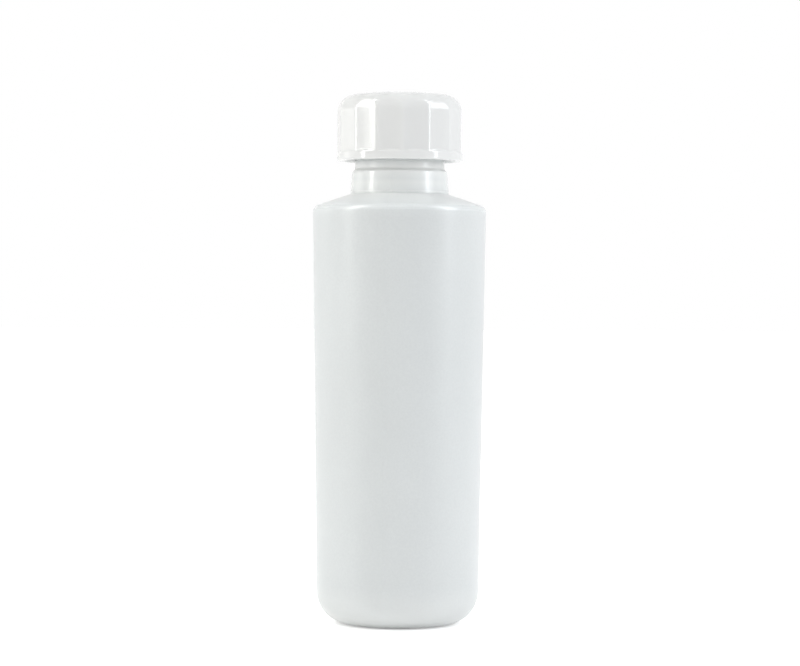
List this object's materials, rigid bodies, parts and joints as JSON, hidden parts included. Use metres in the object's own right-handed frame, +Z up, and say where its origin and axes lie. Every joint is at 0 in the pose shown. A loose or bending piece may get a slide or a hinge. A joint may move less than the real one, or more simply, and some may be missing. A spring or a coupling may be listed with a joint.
{
  "type": "child-resistant bottle",
  "caption": "Plain cylindrical blown plastic bottle with a push-and-turn screw closure: a faceted outer cap over a threaded inner cap and a sealing disc.",
  "frame": {"origin": "middle of the ring that the bottle stands on", "axes": "+Z up along the bottle's axis, -Y to the front"},
  "size_m": [0.0496, 0.0496, 0.1523],
  "materials": {
    "natural_plastic": "translucent blown plastic, satin",
    "foam": "closed-cell foam",
    "inner_cap_plastic": "moulded, semi-gloss",
    "cap_plastic": "moulded, gloss white"
  },
  "bodies": {
    "bottle": {"bottle": "natural_plastic"},
    "disc": {"liner": "foam"},
    "inner_cap": {"inner_cap": "inner_cap_plastic"},
    "outer_cap": {"outer_cap": "cap_plastic"}
  },
  "joints": [
    {"name": "cap_lift", "type": "slide", "parent": "bottle", "child": "disc", "axis": [0, 0, 1], "range_m": [0, 0.01693]},
    {"name": "cap_turn", "type": "hinge", "parent": "disc", "child": "inner_cap", "pos_m": [0, 0, 0.14], "axis": [0, 0, 1], "range_deg": [0, 1440]},
    {"name": "cap_push", "type": "slide", "parent": "inner_cap", "child": "outer_cap", "axis": [0, 0, -1], "range_m": [0, 0.0011], "stiffness_N_per_m": 20000, "springref_m": -0.0002}
  ],
  "couplings": [
    {"joint": "cap_turn", "follows": "cap_lift", "rad_per_m": 1484.2}
  ]
}
